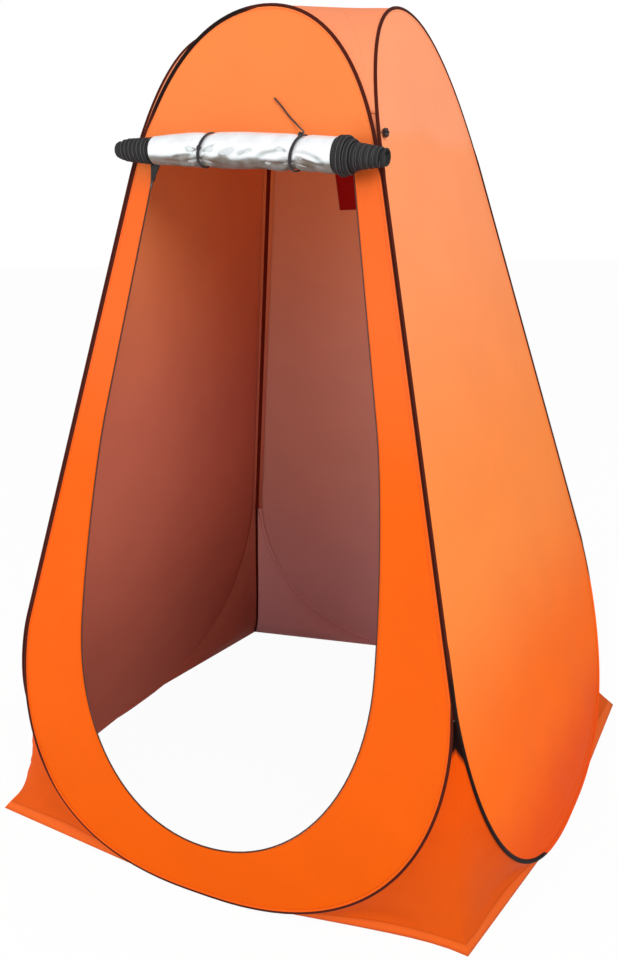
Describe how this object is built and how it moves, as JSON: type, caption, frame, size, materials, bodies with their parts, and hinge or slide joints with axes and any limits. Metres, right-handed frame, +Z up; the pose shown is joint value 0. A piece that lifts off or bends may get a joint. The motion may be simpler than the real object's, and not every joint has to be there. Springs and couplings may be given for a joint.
{
  "type": "pop-up privacy tent",
  "caption": "Tall free-standing changing shelter of sprung hoops and bound cloth panels, with a zipped door rolled up above its opening; folds flat at its corner seams.",
  "frame": {"origin": "on the ground under the middle of the tent, halfway between the outer sides of its hoops", "axes": "+Z up, -Y out of the door, +X to the right of someone who faces the door"},
  "size_m": [1.3612, 1.3544, 1.8994],
  "materials": {
    "panel_orange": "thin coated polyester, slight sheen",
    "binding_black": "woven binding tape",
    "spring_steel": "drawn spring wire",
    "ferrule_brass": "crimped tube",
    "silver_cloth": "silver-coated polyester",
    "zip_black": "woven zip tape",
    "zip_metal": "black enamel",
    "tie_cord": "braided cord",
    "toggle_plastic": "moulded",
    "pocket_red": "plain weave"
  },
  "bodies": {
    "front": {"front_panel": "panel_orange", "front_sleeve": "binding_black", "front_hoop": "spring_steel", "front_ferrule": "ferrule_brass", "opening_zip": "zip_black", "door_roll": "silver_cloth", "roll_zip_left": "zip_black", "roll_zip_right": "zip_black", "roll_tie_left": "tie_cord", "roll_tie_right": "tie_cord", "right_tie_tail": "tie_cord", "roof_front_left": "panel_orange", "gusset_front_left": "panel_orange", "gusset_front_right": "panel_orange"},
    "zip_slider": {"zip_slider": "zip_metal"},
    "zip_pull": {"zip_pull": "zip_metal"},
    "right": {"right_panel": "panel_orange", "right_sleeve": "binding_black", "right_hoop": "spring_steel", "right_ferrule": "ferrule_brass", "side_toggle": "toggle_plastic", "side_toggle_loop": "tie_cord", "roof_back_right": "panel_orange", "gusset_back_right": "panel_orange"},
    "left": {"left_panel": "panel_orange", "left_sleeve": "binding_black", "left_hoop": "spring_steel", "left_ferrule": "ferrule_brass", "gusset_back_left": "panel_orange", "back_left_seam_tape": "binding_black"},
    "back": {"back_panel": "panel_orange", "back_sleeve": "binding_black", "back_hoop": "spring_steel", "back_ferrule": "ferrule_brass", "inner_pocket": "pocket_red"}
  },
  "joints": [
    {"name": "right_fold", "type": "hinge", "parent": "front", "child": "right", "pos_m": [0.42908, -0.43344, 1.03671], "axis": [0.221, -0.221, -0.9499], "range_deg": [0, 80], "deforming": ["gusset_front_right"]},
    {"name": "left_fold", "type": "hinge", "parent": "front", "child": "left", "pos_m": [-0.42908, -0.43344, 1.03671], "axis": [-0.221, -0.221, -0.9499], "range_deg": [0, 83], "deforming": ["gusset_front_left", "roof_front_left", "gusset_back_left", "back_left_seam_tape"]},
    {"name": "back_fold", "type": "hinge", "parent": "right", "child": "back", "pos_m": [0.43676, 0.42577, 1.03671], "axis": [-0.221, -0.221, 0.9499], "range_deg": [0, 83], "deforming": ["gusset_back_right", "roof_back_right"]},
    {"name": "zip_slide", "type": "slide", "parent": "front", "child": "zip_slider", "axis": [-0.1772, -0.2231, -0.9586], "range_m": [0, 0.54]},
    {"name": "zip_pull_swing", "type": "hinge", "parent": "zip_slider", "child": "zip_pull", "pos_m": [-0.24851, -0.31603, 1.55954], "axis": [-0.9842, 0.0402, 0.1725], "range_deg": [0, 150]}
  ],
  "couplings": [
    {"joint": "left_fold", "follows": "right_fold", "ratio": 1.03},
    {"joint": "back_fold", "follows": "right_fold", "ratio": 1.03}
  ]
}
